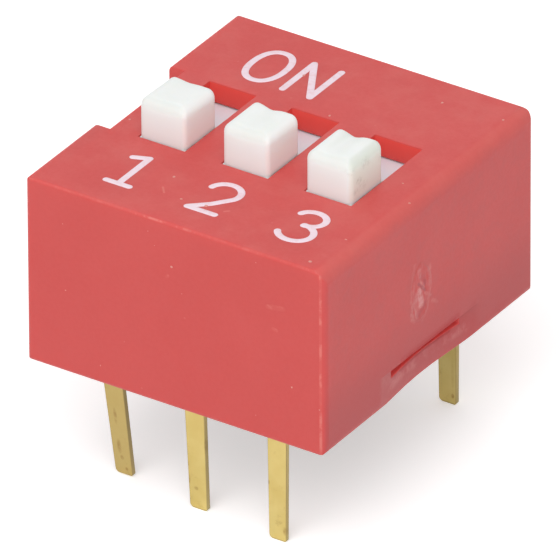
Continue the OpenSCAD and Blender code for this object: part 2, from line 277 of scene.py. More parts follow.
class Finish:
    """One material: its node tree, the place on the piece, and the patterns that use it."""

    def __init__(self, name):
        self.material = bpy.data.materials.new(name)
        self.material.use_nodes = True
        tree = self.material.node_tree
        tree.nodes.clear()
        self.base = Wire(tree)
        metres = self.base.node("TexCoord", output="Object")
        scale = {"operation": "SCALE"}
        self.place = self.base.node("VectorMath", scale, {0: metres, "Scale": 1 / MM})
        self.x, self.y, self.z = self.split(self.place)
        self.facing = self.split(self.base.node("TexCoord", output="Normal"))

    def split(self, vector):
        """The three parts of a vector."""
        return [self.base.node("SeparateXYZ", inputs={0: vector}, output=n) for n in range(3)]

    def noise(self, per_mm, detail=3.0, roughness=0.55, shift=0.0, stretch=(1, 1, 1)):
        """Cloudy noise from 0 to 1 with so many bumps to the millimetre."""
        moved = self.base.node(
            "Mapping", inputs={"Vector": self.place, "Location": (shift,) * 3, "Scale": stretch}
        )
        sizes = {"Vector": moved, "Scale": per_mm, "Detail": detail, "Roughness": roughness}
        return self.base.node("TexNoise", inputs=sizes)

    def dots(self, per_mm, radius, share, shift=0.0):
        """Round dots of a radius in millimetres, kept for a share of the cells."""
        moved = self.base.node(
            "Mapping", inputs={"Vector": self.place, "Location": (shift,) * 3}
        )
        cells = {"Vector": moved, "Scale": per_mm}
        distance = self.base.node("TexVoronoi", inputs=cells, output="Distance")
        chance = self.base.node("TexVoronoi", inputs=cells, output="Color")
        kept = self.base.node("SeparateColor", inputs={0: chance}).ramp(share, share - 0.02)
        return (distance / per_mm).ramp(radius, 0.6 * radius) * kept

    def near(self, middle, reach):
        """1 at a point and 0 from so far away; reach may differ from axis to axis."""
        offsets = [
            (axis - at) / far for axis, at, far in zip((self.x, self.y, self.z), middle, reach)
        ]
        return (sum(offset * offset for offset in offsets)).root().ramp(1.0, 0.3)

    def near_edge(self, first, second, width):
        """1 along the straight edge where two coordinates have given values.

        first and second are pairs of a coordinate and its value on the edge.
        """
        across = [wire - at for wire, at in (first, second)]
        return sum(side * side for side in across).root().ramp(width, 0.4 * width)

    def streak(self, across, start, end, width):
        """1 along the straight line between two points, and 0 from a width away.

        across holds the two coordinates that the points are given in. The nearest place on
        the line lies at dot(point - start, run) / dot(run, run) of the way, kept to 0 to 1.
        """
        run = [b - a for a, b in zip(start, end)]
        offsets = [wire - at for wire, at in zip(across, start)]
        length = sum(step * step for step in run)
        way = sum(offset * (step / length) for offset, step in zip(offsets, run))
        way = way.most(0).least(1)
        gaps = [offset - way * step for offset, step in zip(offsets, run)]
        return sum(gap * gap for gap in gaps).root().ramp(width, 0.3 * width)

    def streaks(self, across, lines):
        """The strongest of some streaks, each a start, an end, a width and a strength."""
        total = 0 * across[0]
        for start, end, width, strength in lines:
            total = total.most(self.streak(across, start, end, width) * strength)
        return total

    def mix(self, share, start, end):
        """One colour where share is 0, the other where it is 1."""
        named = {0: share, 6: start, 7: end}
        settings = {"data_type": "RGBA", "clamp_factor": True}
        return self.base.node("Mix", settings, named, output=2)

    def bump(self, height, depth_mm, normal=None):
        """A Bump node for a height from 0 to 1 that stands for so many millimetres."""
        sockets = {"Strength": 1.0, "Distance": depth_mm * MM, "Height": height}
        if normal:
            sockets["Normal"] = normal
        return self.base.node("Bump", inputs=sockets)

    def done(self, **sockets):
        """Ends the tree in a Principled shader and returns the material."""
        named = {name.replace("_", " "): value for name, value in sockets.items()}
        shader = self.base.node("BsdfPrincipled", inputs=named)
        self.base.node("OutputMaterial", inputs={"Surface": shader})
        return self.material


print("finishes start from Object coordinates, in millimetres")

# %% [markdown]
# ## The red cover's plastic
#
# The cover is moulded in a red thermoplastic with a satin skin. Its colour is almost even:
# faint clouds from the flow of the melt. Light and shade are painted over that by the way a
# face looks: a paler sheen in patches on the top, a lighter band on the round edge to the end
# wall, a slightly deeper front, and a duller end wall, which also darkens towards its foot. The
# walls inside the slots and the window are brighter, because light bounces about in them.
#
# Marks come on top. The torn gate is a few pale and dark streaks. The window has painted
# shade along its lip and foot, with a painted lighter strip below it, and the front and the top
# have a few scratches. The long top edge is scuffed to a fine pale line, which is partly wear
# and partly a painted edge highlight, and so is the line down the front corner of the end wall.
# A glossy red would look wet, so the roughness stays near a half and only varies a little.

# %% Make the red plastic


GATE_MIDDLE = (-0.42, TOP - 2.75)
GATE_HALF = (0.47, 0.87)
SLOTS_HALF = (3.5, 2.3)
SLOT_DEPTH = 0.9
WINDOW_HALF = 1.75
WINDOW_INSIDE = 3.6


def end_marks(finish):
    """The pale, the dark and the painted shade masks on the end wall by position 3.

    The torn patch is a few soft streaks, as offsets from the gate's middle with a width and
    a strength. Noise nudges the places that they are measured from, so none of them keeps an
    even outline. The pale mask also holds a painted lighter strip below the window, and the
    painted shade lies along the slit's lip and foot.
    """
    nudges = [finish.noise(3.0, 3.0, 0.6, shift=far) * 0.2 - 0.1 for far in (1.9, 8.3)]
    offsets = (finish.y - GATE_MIDDLE[0], finish.z - GATE_MIDDLE[1])
    across = [offset + nudge for offset, nudge in zip(offsets, nudges)]
    ragged = finish.noise(6.0, 4.0, 0.7, shift=4.4).ramp(0.35, 0.62)
    torn = [
        ((-0.34, 0.9), (-0.41, 0.3), 0.1, 0.16), ((-0.41, 0.3), (-0.45, -0.02), 0.1, 0.3),
        ((-0.45, -0.02), (-0.43, -0.63), 0.12, 0.38), ((0.39, 0.54), (0.37, -0.16), 0.1, 0.3),
        ((0.37, -0.16), (0.3, -0.66), 0.09, 0.26), ((0.3, -0.66), (0.07, -0.86), 0.08, 0.16),
        ((-0.12, 0.02), (-0.03, -0.36), 0.19, 0.9), ((-0.1, 0.62), (-0.08, 0.52), 0.13, 0.4),
        ((-0.04, 0.28), (0.11, 0.06), 0.08, 0.45), ((0.16, -0.13), (0.44, -0.34), 0.06, 0.3),
        ((-0.3, -0.1), (-0.28, -0.6), 0.24, 0.4), ((0.51, -0.54), (0.76, -0.68), 0.07, 0.22),
    ]
    cracks = [
        ((-0.17, 0.29), (0.19, -0.06), 0.07, 0.5), ((0.13, 0.24), (0.16, 0.12), 0.08, 0.45),
        ((0.16, -0.44), (-0.15, -0.65), 0.1, 0.25), ((-0.06, 0.48), (0.1, 0.36), 0.12, 0.2),
    ]
    pale = finish.streaks(across, torn) * (ragged * 0.6 + 0.4)
    dark = finish.streaks(across, cracks)

    wall = (finish.y, finish.z)
    mottled = finish.noise(2.2, 4.0, 0.7, shift=6.1).ramp(0.4, 0.65)
    # Painted light: a lighter strip below the window, and a short lighter streak by one end.
    strip_z = WINDOW_LOW - 0.18
    painted_pale = finish.streaks(wall, [
        ((-2.3, WINDOW_LOW + 0.02), (-1.85, WINDOW_LOW + 0.1), 0.25, 0.09),
        ((-1.7, strip_z), (1.8, strip_z), 0.26, 0.28),
    ])
    # Painted shade along the slit: on its lip, just above it, along its foot, and by one end.
    lip_z, shade_z, foot_z = WINDOW_HIGH + 0.02, WINDOW_HIGH + 0.05, WINDOW_LOW - 0.02
    slit_shade = finish.streaks(wall, [
        ((-1.1, lip_z), (1.2, lip_z), 0.11, 0.95),
        ((-1.3, shade_z), (1.3, shade_z), 0.17, 0.45),
        ((-1.1, foot_z), (1.2, foot_z), 0.09, 0.6),
        ((1.6, WINDOW_HIGH - 0.1), (2.1, WINDOW_HIGH), 0.16, 0.2),
    ])
    return pale.most(painted_pale * mottled), dark, slit_shade


def red_plastic():
    """Clouds and grain, painted light and shade by the way a face looks, then marks and worn
    edges with painted highlights.
    """
    finish = Finish("red_plastic")
    x, y, z = finish.x, finish.y, finish.z
    base = paint(209, 78, 76)
    deep = paint(203, 70, 68)
    top_sheen = paint(216, 112, 106)
    scuff_and_sheen_pale = paint(226, 142, 132)
    clouds = finish.noise(0.45, 2.0).ramp(0.35, 0.65)
    grain = finish.noise(9.0, 3.0, 0.6, shift=3.1)
    colour = finish.mix(clouds * 0.5 + grain.ramp(0.35, 0.7) * 0.3, base, deep)

    # Painted sheen: the top is paler, more so in patches.
    on_top = finish.facing[2].ramp(0.1, 0.8)
    painted_pale = finish.noise(0.8, 4.0, 0.6, shift=7.7).ramp(0.4, 0.7)
    colour = finish.mix(on_top * (painted_pale * 0.25 + 0.08), colour, top_sheen)

    # Painted light: a lighter band on the round edge between the top and the end wall.
    edge_sheen = (finish.facing[0] * finish.facing[2] * 2).ramp(0.1, 0.7)
    colour = finish.mix(edge_sheen * 0.28, colour, paint(214, 112, 104))

    # Painted shade: the front is a little deeper.
    on_front = finish.facing[1].ramp(-0.5, -1.0)
    colour = finish.mix(on_front * 0.4, colour, paint(196, 74, 70))

    # Painted shade: the end wall is duller and mottled.
    on_end = finish.facing[0].ramp(0.5, 1.0)
    mottled = finish.noise(2.6, 4.0, 0.7, shift=2.2).ramp(0.4, 0.75)
    colour = finish.mix(on_end * (mottled * 0.3 + 0.2), colour, paint(188, 82, 82))

    low_down = z.ramp(2.8, 0.6) * on_end
    colour = finish.mix(low_down * 0.8, colour, paint(180, 72, 73))
    # pale holds the torn gate's streaks and the painted lighter strip below the window.
    pale, dark, slit_shade = end_marks(finish)
    colour = finish.mix(pale * on_end, colour, paint(218, 148, 146))
    colour = finish.mix(dark * on_end, colour, paint(158, 62, 74))
    colour = finish.mix(slit_shade * on_end, colour, paint(172, 18, 22))

    under_top = z.ramp(TOP - 0.02, TOP - 0.06) * z.ramp(TOP - SLOT_DEPTH, TOP - SLOT_DEPTH + 0.1)
    near_slots = [
        abs(axis).ramp(half, half - 0.1) for axis, half in zip((x, y), SLOTS_HALF)
    ]
    colour = finish.mix(under_top * near_slots[1] * near_slots[0], colour, paint(226, 76, 68))
    in_window = z.ramp(WINDOW_LOW - 0.06, WINDOW_LOW) * z.ramp(WINDOW_HIGH + 0.06, WINDOW_HIGH)
    in_window = in_window * abs(y).ramp(WINDOW_HALF, WINDOW_HALF - 0.07) * (1 - on_end)
    in_window = in_window * x.ramp(WINDOW_INSIDE, WINDOW_INSIDE + 0.1)
    colour = finish.mix(in_window, colour, paint(238, 104, 102))

    # The pale lines along the long top edge and down the front corner of the end wall are partly
    # wear and partly a painted edge highlight. The scratches and nicks are wear.
    worn = finish.noise(2.2, 4.0, 0.7, shift=1.3).ramp(0.46, 0.62)
    long_edge = finish.near_edge((y, COVER_LOW[1]), (z, TOP), 0.07)
    most_worn = finish.near((-0.45, COVER_LOW[1], TOP), (1.6, 1, 1))
    most_worn = most_worn.most(finish.near((4.3, COVER_LOW[1], TOP), (0.6, 1, 1)))
    corner = finish.near_edge((x, COVER_HIGH[0] - 0.14), (y, COVER_LOW[1] + 0.01), 0.05)
    scuffs_and_sheen = long_edge * worn * (most_worn * 0.45 + 0.3)
    scratches = finish.streaks((x, z), [
        ((2.85, TOP - 1.5), (3.3, TOP - 1.42), 0.1, 1),
        ((3.0, TOP - 2.1), (3.1, TOP - 2.12), 0.07, 1),
        ((-0.24, TOP - 1.6), (-0.2, TOP - 1.56), 0.06, 1),
    ])
    scuffs_and_sheen = scuffs_and_sheen.most(scratches * on_front * (worn * 0.3 + 0.08))
    nicks = finish.streaks((x, y), [
        ((-1.3, -3.5), (-1.12, -3.72), 0.04, 0.4),
        ((0.7, -3.68), (0.78, -3.6), 0.05, 0.4),
    ])
    scuffs_and_sheen = scuffs_and_sheen.most(nicks * on_top)
    scuffs_and_sheen = scuffs_and_sheen.most(corner * (worn * 0.4 + 0.1))
    colour = finish.mix(scuffs_and_sheen, colour, scuff_and_sheen_pale)

    motes = finish.dots(2.3, 0.04, 0.1, shift=0.6)
    colour = finish.mix(motes * 0.15, colour, paint(228, 150, 140))

    fine = finish.noise(28.0, 4.0, 0.6, shift=5.0)
    skin = finish.bump(fine, 0.004)
    waves = finish.bump(finish.noise(0.7, 2.0, 0.4, shift=2.0), 0.03, skin)
    return finish.done(
        Base_Color=colour,
        Roughness=0.46 + grain * 0.12 + scuffs_and_sheen * 0.15,
        IOR=1.46,
        Subsurface_Weight=0.3,
        Subsurface_Radius=(0.7 * MM, 0.12 * MM, 0.1 * MM),
        Subsurface_Scale=1.0,
        Normal=waves,
    )


RED = red_plastic()
print("made", RED.name, "with", len(RED.node_tree.nodes), "nodes")

# %% [markdown]
# ## The white sliders' plastic
#
# The sliders are moulded in white nylon, which lets a little light in: their corners look
# soft and their shaded sides pick up the red of the cover. A small subsurface weight does
# that. Light and shade are also painted by facing: the upright sides are a little cooler than
# the top, the edge over a knob's front has painted shade, and the sides that face right have
# painted light, apart from the third knob's, which has painted shade on its side and on its
# top right edge. The third knob has a few grey smudges where it has been pushed. The shutter
# plate deep in the slots is a little bluer.

# %% Make the white nylon


def white_nylon():
    """Near white with painted light and shade by facing, and smudges of a place, a size and a
    strength.

    A smudge's place is how far it lies behind the third knob's front and above the cover.
    """
    finish = Finish("white_nylon")
    clouds = finish.noise(1.1, 3.0).ramp(0.3, 0.7)
    colour = finish.mix(clouds, paint(243, 246, 244), paint(239, 243, 239))
    # Painted light: the upright sides are a little cooler than the top.
    upright = finish.facing[2].ramp(0.75, 0.2)
    colour = finish.mix(upright, colour, paint(237, 248, 245))
    # Painted shade over the edge at a knob's front.
    front_edge_shade = (finish.facing[2] * finish.facing[1] * -2).ramp(0.0, 0.9)
    colour = finish.mix(front_edge_shade * 0.7, colour, paint(222, 225, 221))
    # Painted light on the sides that face right, and painted shade on the third knob's.
    to_right = finish.facing[0].ramp(0.3, 0.9) * finish.z.ramp(TOP, TOP + 0.1)
    third = finish.x.ramp(PITCH / 2 - 0.1, PITCH / 2 + 0.1)
    colour = finish.mix(to_right * (1 - third) * 0.9, colour, paint(253, 255, 251))
    colour = finish.mix(to_right * third, colour, paint(236, 240, 230))
    # Painted shade on the third knob's top right edge.
    right_edge_shade = (finish.facing[0] * finish.facing[2] * 2).ramp(0.2, 0.9)
    colour = finish.mix(right_edge_shade * third * 0.6, colour, paint(216, 220, 211))
    plate = finish.z.ramp(TOP - 0.5, TOP - 0.6)
    colour = finish.mix(plate, colour, paint(236, 242, 252))
    cloudy = finish.noise(9.0, 4.0, 0.7, shift=9.0).ramp(0.42, 0.62)
    smudges = [(0.39, 0.53, 0.2, 0.34), (0.71, 0.9, 0.3, 0.2), (0.24, 0.28, 0.2, 0.2),
               (0.05, 0.92, 0.25, 0.16), (0.55, 0.3, 0.35, 0.14)]
    dirt = 0 * finish.x
    for behind, above, half, strength in smudges:
        middle = (knobs[3][1][0], knobs[3][0][1] + behind, TOP + above)
        dirt = dirt.most(finish.near(middle, (0.3, half, half * 0.7)) * strength)
    dirt = dirt * (cloudy * 0.85 + 0.15)
    colour = finish.mix(dirt, colour, paint(150, 144, 128))
    fine = finish.bump(finish.noise(22.0, 3.0, 0.5), 0.003)
    return finish.done(
        Base_Color=colour,
        Roughness=0.56 + clouds * 0.08,
        Subsurface_Weight=0.4,
        Subsurface_Radius=(0.5 * MM, 0.45 * MM, 0.4 * MM),
        Subsurface_Scale=1.0,
        Normal=fine,
    )


WHITE = white_nylon()
print("made", WHITE.name, "with", len(WHITE.node_tree.nodes), "nodes")

# %% [markdown]
# ## The gold of the legs and springs
#
# The legs are stamped from plated strip. Stamping shears the edges, which bares duller metal
# there, and the darker sides also carry painted shade. Handling leaves brown stains and a few
# dark pits. The legs of position 1 and the rear row are darker than the rest. The mask for the
# sheared and shaded sides comes from how far a point lies from the middle of its leg.

# %% Make the gold


LEG_HALF_WIDTH = 0.3
LEG_NARROWING = 0.04


def leg_gold():
    """Plated strip with darker sheared sides that also carry painted shade, cloudy stains and
    stains at listed places.

    A mark is its row's mask, its leg's number, how far aside of the leg's middle and how high
    it lies, and its half width and half height.
    """
    finish = Finish("leg_gold")
    x, y, z = finish.x, finish.y, finish.z
    leg_middle = [PITCH * (n - 2) for n in POSITIONS]
    from_leg = abs((x / PITCH + 0.5).math("FRACT", x / PITCH + 0.5) - 0.5) * PITCH
    half_width = LEG_HALF_WIDTH + z.most(LEG_TIP).least(0) * (-LEG_NARROWING / LEG_TIP)
    # The sides and the tip of a leg: bare sheared metal with painted shade.
    sheared_and_shaded = (half_width - from_leg).ramp(0.03, 0.0).most(z.ramp(LEG_TIP + 0.06, LEG_TIP))
    tone = finish.noise(0.9, 3.0, shift=4.0).ramp(0.3, 0.7)
    colour = finish.mix(tone, paint(208, 190, 124), paint(198, 177, 108))
    first_leg = x.ramp(-1.2, -1.4)
    colour = finish.mix(first_leg * 0.75, colour, paint(172, 150, 94))

    front, rear = y.ramp(0.1, -0.1), y.ramp(-0.1, 0.1)
    colour = finish.mix(rear * 0.35, colour, paint(166, 146, 92))
    marks = [
        (front, 1, -0.06, -1.6, 0.07, 0.34), (front, 1, -0.05, -2.6, 0.09, 0.3),
        (front, 1, 0.0, -2.95, 0.08, 0.1), (front, 1, 0.1, -3.3, 0.06, 0.08),
        (front, 2, -0.28, -2.2, 0.06, 0.12), (front, 2, -0.27, -2.68, 0.07, 0.28),
        (front, 2, 0.29, -1.5, 0.05, 0.3), (front, 2, -0.05, -2.9, 0.09, 0.08),
        (front, 3, -0.27, -1.86, 0.06, 0.12), (front, 3, 0.22, -3.2, 0.08, 0.16),
        (rear * 1.8, 3, 0.16, -3.28, 0.06, 0.1), (rear * 0.35, 3, 0.16, -2.6, 0.06, 0.8),
    ]
    stained = 0 * x
    for row, n, aside, height, half_x, half_z in marks:
        middle = (leg_middle[n - 1] + aside, 0, height)
        stained = stained.most(finish.near(middle, (half_x, 50, half_z)) * row)
    ragged = finish.noise(5.0, 4.0, 0.7, shift=2.2).ramp(0.2, 0.65)
    stains = finish.noise(2.6, 5.0, 0.7, shift=6.2).ramp(0.58, 0.76)
    brown = (stains * 0.3).most(stained * ragged * 0.5)
    colour = finish.mix(brown, colour, paint(134, 98, 54))
    colour = finish.mix(sheared_and_shaded * 0.55, colour, paint(134, 118, 80))
    drawn = finish.noise(5.0, 3.0, 0.6, shift=8.0, stretch=(6, 6, 0.6))
    return finish.done(
        Base_Color=colour,
        Metallic=1.0,
        Roughness=0.34 + drawn * 0.1 + brown * 0.2,
        Normal=finish.bump(drawn, 0.004),
    )


def spring_gold():
    """Brighter gold, with fine lines drawn along the strip."""
    finish = Finish("spring_gold")
    tone = finish.noise(2.0, 3.0).ramp(0.3, 0.7)
    colour = finish.mix(tone, paint(230, 186, 112), paint(214, 166, 92))
    drawn = finish.noise(6.0, 2.0, 0.5, stretch=(1, 8, 8))
    return finish.done(
        Base_Color=colour,
        Metallic=1.0,
        Roughness=0.24 + drawn * 0.12,
        Normal=finish.bump(drawn, 0.002),
    )


GOLD = leg_gold()
SPRING = spring_gold()
print("made", GOLD.name, "and", SPRING.name)

# %% [markdown]
# ## The dark underside and the ink
#
# The base is black glass-filled plastic, dull and faintly speckled. The epoxy that seals it
# was poured as a liquid, so it is glossy, brown-black and has a few bubbles. The lettering is
# a thin coat of white ink, through which some of the red shows.

# %% Make the base, the resin and the ink


def black_plastic():
    """Black with a faint speckle of fibres."""
    finish = Finish("black_plastic")
    fibres = finish.noise(14.0, 4.0, 0.7, stretch=(1, 3, 1))
    colour = finish.mix(fibres.ramp(0.4, 0.75), paint(26, 26, 28), paint(48, 47, 47))
    return finish.done(
        Base_Color=colour, Roughness=0.5 + fibres * 0.2, Normal=finish.bump(fibres, 0.006)
    )


def brown_resin():
    """Glossy brown-black clouds with a few sunk bubbles."""
    finish = Finish("brown_resin")
    clouds = finish.noise(0.8, 4.0).ramp(0.3, 0.7)
    bubbles = finish.dots(2.2, 0.08, 0.45)
    colour = finish.mix(clouds, paint(40, 28, 22), paint(58, 40, 29))
    colour = finish.mix(bubbles * 0.5, colour, paint(92, 70, 52))
    return finish.done(
        Base_Color=colour,
        Roughness=0.2 + clouds * 0.1,
        Normal=finish.bump(1 - bubbles, 0.02),
    )


def white_ink():
    """White ink that is thin in places, where it turns pink."""
    finish = Finish("white_ink")
    thin = finish.noise(5.0, 4.0, 0.65).ramp(0.42, 0.72)
    colour = finish.mix(thin * 0.3, paint(243, 222, 232), paint(226, 156, 154))
    return finish.done(
        Base_Color=colour, Roughness=0.55, Normal=finish.bump(finish.noise(16.0), 0.003)
    )


BLACK = black_plastic()
RESIN = brown_resin()
INK = white_ink()
print("made", BLACK.name + ",", RESIN.name, "and", INK.name)

# %% [markdown]
# ## Pieces from grids of points
#
# Each new piece is made of grids: one direction runs round a section, the other along it. numpy
# works out all the points at once, and the same few lines turn any grid into a mesh. Ends
# that shrink to a point leave doubled points behind, so doubles are merged and the normals
# are made to face outwards afterwards.

# %% Turn grids into pieces


def grid_faces(rows, columns):
    """The corner numbers of a grid's quads, with each row joined round into a ring."""
    numbers = np.arange(rows * columns).reshape(rows, columns)
    numbers = np.hstack([numbers, numbers[:, :1]])
    corners = [numbers[:-1, :-1], numbers[:-1, 1:], numbers[1:, 1:], numbers[1:, :-1]]
    return np.stack([corner.ravel() for corner in corners], axis=1)


def clean(mesh, merge_mm=0.0002):
    """Merges doubled points and turns every face outwards."""
    shape = bmesh.new()
    shape.from_mesh(mesh)
    bmesh.ops.remove_doubles(shape, verts=shape.verts, dist=merge_mm * MM)
    bmesh.ops.recalc_face_normals(shape, faces=shape.faces)
    shape.to_mesh(mesh)
    shape.free()


def piece_from_grids(name, grids, finish, body):
    """One piece from some grids of points in millimetres, each (rows, columns, 3)."""
    points, faces, count = [], [], 0
    for grid in grids:
        rows, columns = grid.shape[:2]
        points.append(grid.reshape(-1, 3))
        faces.append(grid_faces(rows, columns) + count)
        count += rows * columns
    mesh = bpy.data.meshes.new(name)
    mesh.from_pydata((np.vstack(points) * MM).tolist(), [], np.vstack(faces).tolist())
    clean(mesh)
    return shown(name, mesh, finish, body)


def shown(name, mesh, finish, body):
    """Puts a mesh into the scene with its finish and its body."""
    mesh.shade_smooth()
    mesh.materials.clear()
    mesh.materials.append(finish)
    piece = bpy.data.objects.new(name, mesh)
    bpy.context.scene.collection.objects.link(piece)
    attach(piece, body)
    return piece


print("a 3 by 4 tube has", len(grid_faces(3, 4)), "faces")

# %% [markdown]
# ## Softening a CAD piece
#
# The cover and the legs already have the right shape. What a moulding or a stamping has and
# a CAD solid lacks is a tiny radius on its sharp edges, which catches the light as a thin
# line. A copy is merged, its flat faces are joined, and a Bevel modifier rounds what is
# still sharp. The CAD node itself is left alone, and the copy stands for it.
#
# A narrow bevel upsets the shading of the broad faces beside it. A Weighted Normal modifier
# lets those faces have their say first, and the cover is cut across near its ends, so that
# whatever is left of the trouble stays close to the corners.

# %% Copy and soften
SHARP = np.radians(32)
FLAT = np.radians(0.2)
CUT_INSET = 0.5


def cut_near_ends(shape, low, high):
    """Cuts every face at six planes, each a little inside one side of the piece's box.

    A long thin face passes the normals of its end corners on along its whole length. The
    cuts keep what the round edges do to the normals at a corner close to that corner.
    """
    for axis in range(3):
        for place in (low[axis] + CUT_INSET, high[axis] - CUT_INSET):
            facing = np.eye(3)[axis]
            geometry = shape.verts[:] + shape.edges[:] + shape.faces[:]
            bmesh.ops.bisect_plane(
                shape, geom=geometry, dist=0.0001 * MM, plane_co=facing * place * MM,
                plane_no=facing,
            )


def softened(node, finish, edge_mm, segments=2, cut=False):
    """A copy of a CAD node with small round edges, standing for the node."""
    source = frame["nodes"][node]
    mesh = source.data.copy()
    shape = bmesh.new()
    shape.from_mesh(mesh)
    bmesh.ops.remove_doubles(shape, verts=shape.verts, dist=0.0005 * MM)
    bmesh.ops.dissolve_limit(shape, angle_limit=FLAT, verts=shape.verts, edges=shape.edges)
    if cut:
        cut_near_ends(shape, *span_of(points_of(node)))
    shape.to_mesh(mesh)
    shape.free()
    piece = shown(node + "_soft", mesh, finish, source["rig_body"])
    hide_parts(node)
    bevel = piece.modifiers.new("round_edges", "BEVEL")
    bevel.width = edge_mm * MM
    bevel.segments = segments
    bevel.limit_method = "ANGLE"
    bevel.angle_limit = SHARP
    evened = piece.modifiers.new("flat_faces_first", "WEIGHTED_NORMAL")
    evened.weight = 100
    evened.keep_sharp = True
    return piece


cover = softened("cover", RED, 0.03, cut=True)
legs = [
    softened(f"terminal_{row}_{n}", GOLD, 0.018)
    for row in ("front", "rear")
    for n in POSITIONS
]
print("softened the cover and", len(legs), "legs")

# %% [markdown]
# ## Rounded blocks
#
# A knob, its collar, its shutter plate and the block below are all boxes with rounded edges.
# One surface serves for all four. It starts in the middle of the underside, runs out, up
# the wall, and in again to the middle of the top. At each step the section is a rounded
# rectangle, made smaller by how far in the surface has come. The knob's top is not flat: a
# crown function adds the finger valley to it.

# %% Round a block


def quarter_turns(steps):
    """Angles from 0 to 90 degrees."""
    return np.linspace(0, np.pi / 2, steps)


def rounded_rectangle(walls, radius, arc_steps, side_steps):
    """Rings of points round rounded rectangles, and the way that the wall faces at each.

    walls holds, for each ring, how far out the walls towards +X, +Y, -X and -Y stand. Each
    corner is a quarter circle about a point that lies one radius inside both walls, and
    points spread evenly along the straight sides join the corners.
    """
    angles = quarter_turns(arc_steps)
    shares = np.linspace(0, 1, side_steps + 2)[1:-1]
    arcs = []
    for turn, (wall_x, wall_y) in enumerate([(0, 1), (2, 1), (2, 3), (0, 3)]):
        angle = angles + turn * np.pi / 2
        middle_x = (1 - wall_x) * (walls[:, wall_x] - radius)
        middle_y = (2 - wall_y) * (walls[:, wall_y] - radius)
        x = middle_x[:, None] + radius[:, None] * np.cos(angle)
        y = middle_y[:, None] + radius[:, None] * np.sin(angle)
        arcs.append(np.stack([x, y], axis=2))
    parts, facing = [], []
    for turn, (arc, following) in enumerate(zip(arcs, arcs[1:] + arcs[:1])):
        start, end = arc[:, -1:], following[:, :1]
        parts += [arc, start + (end - start) * shares[None, :, None]]
        facing += [angles + turn * np.pi / 2, np.full(side_steps, (turn + 1) * np.pi / 2)]
    return np.concatenate(parts, axis=1), np.concatenate(facing)


def rounded_block(low, high, upright_r, top_r, foot_r, crown=None, arc_steps=8, side_steps=14):
    """A closed block with rounded edges between two corners.

    top_r holds the radii of the top edges over the walls towards +X, +Y, -X and -Y. At a
    corner one radius passes into the next with the squares of the facing's cosine and sine.
    share runs from 0 on the underside to 1 on the top, and the height is
    (1 - share) * (bottom + lift) + share * (top - drop * radius + crown).
    """
    middle = (low + high) / 2
    half = ((high - low) / 2)[[0, 1, 0, 1]]
    top_r = np.array(top_r)
    turns = quarter_turns(arc_steps)
    flat = np.linspace(0, 1, 16)
    wall = np.linspace(0, 1, 8)[1:-1]
    edge, over = (1 - np.cos(turns))[:, None], (1 - flat)[:, None]
    walls = np.concatenate([
        flat[:, None] * (half - foot_r),
        half - foot_r * (1 - np.sin(turns))[:, None],
        half + 0 * wall[:, None],
        half - edge * top_r,
        over * (half - top_r),
    ])
    level = 0 * flat
    rounding = foot_r * (1 - np.cos(turns))
    lift = np.concatenate([level, rounding, foot_r + 0 * wall, 0 * turns, level])
    drop = np.concatenate([level, 0 * turns, 1 + 0 * wall, 1 - np.sin(turns), level])
    share = np.concatenate([level, 0 * turns, wall, 1 + 0 * turns, 1 + level])
    inset = (half - walls).min(axis=1)
    radius = np.clip(upright_r - inset, 0, upright_r)
    radius = np.minimum(radius, walls.min(axis=1))
    ring, facing = rounded_rectangle(walls, radius, arc_steps, side_steps)
    cosine, sine = np.cos(facing), np.sin(facing)
    parts = np.maximum(np.stack([cosine, sine, -cosine, -sine]), 0) ** 2
    x, y = ring[:, :, 0], ring[:, :, 1]
    top = high[2] - drop[:, None] * (top_r @ parts) + (crown(x, y) if crown else 0 * x)
    z = (1 - share)[:, None] * (low[2] + lift)[:, None] + share[:, None] * top
    return np.stack([x + middle[0], y + middle[1], z], axis=2)


test_block = rounded_block(np.zeros(3), np.ones(3), 0.1, (0.1,) * 4, 0.1)
print("a block is a grid of", test_block.shape[0], "by", test_block.shape[1], "points")

# %% [markdown]
# ## The sliders
#
# Each slider is one moulding: the knob that a finger pushes, the shutter plate that closes
# the slot under it, and the block with a staked post that carries the contact spring. The
# knob's top has a high narrow rim on one side, a finger valley, and a broad hump. Its edges
# are the part that a viewer looks at longest, so this piece is made anew, at the sizes that
# the frame gives, with edges as soft as a moulded knob's.
#
# Soft upright edges would leave a gap at the corners of the slot. A collar with sharper
# corners fills it: it ends just under the cover's top and stands a hair inside the knob.

# %% Mould the sliders
KNOB_CORNER_R = 0.17
KNOB_TOP_R = (0.3, 0.18, 0.24, 0.3)
COLLAR_CORNER_R = 0.04
COLLAR_INSET = 0.005
COLLAR_BELOW_TOP = 0.03
COLLAR_EDGE_R = 0.02
KNOB_FOOT_R = 0.05
KNOB_FOOT_ABOVE_PLATE = 0.2
PLATE_EDGES = (0.06, (0.03,) * 4, 0.05)
POST_R, HEAD_R, HEAD_HEIGHT = 0.2, 0.32, 0.1
BURIED = 0.1
VALLEY_DEPTHS = {1: 0.035, 2: 0.085, 3: 0.11}
SAGS = {1: (0.05, 0.03), 2: (0.0, 0.05), 3: (0.0, 0.01)}
VALLEY_START = 0.015
VALLEY_HALF_WIDTH = 0.24
VALLEY_OFFSET = 0.11


def knob_crown(n):
    """A function for how far knob n's top lies below its highest rim.

    The valley is a bell curve across X, and it deepens evenly along Y towards ON. The sag is
    how much lower the whole top lies at ON, and how much more on the side of position 3.
    """
    half = (knobs[n][1] - knobs[n][0]) / 2
    sag, sag_aside = SAGS[n]

    def crown(x, y):
        along_travel = (y / half[1] + 1) / 2
        depth = VALLEY_START + (VALLEY_DEPTHS[n] - VALLEY_START) * along_travel
        valley = depth * np.exp(-(((x + VALLEY_OFFSET) / VALLEY_HALF_WIDTH) ** 2))
        return -valley - along_travel * (sag + sag_aside * (x / half[0] + 1) / 2)

    return crown


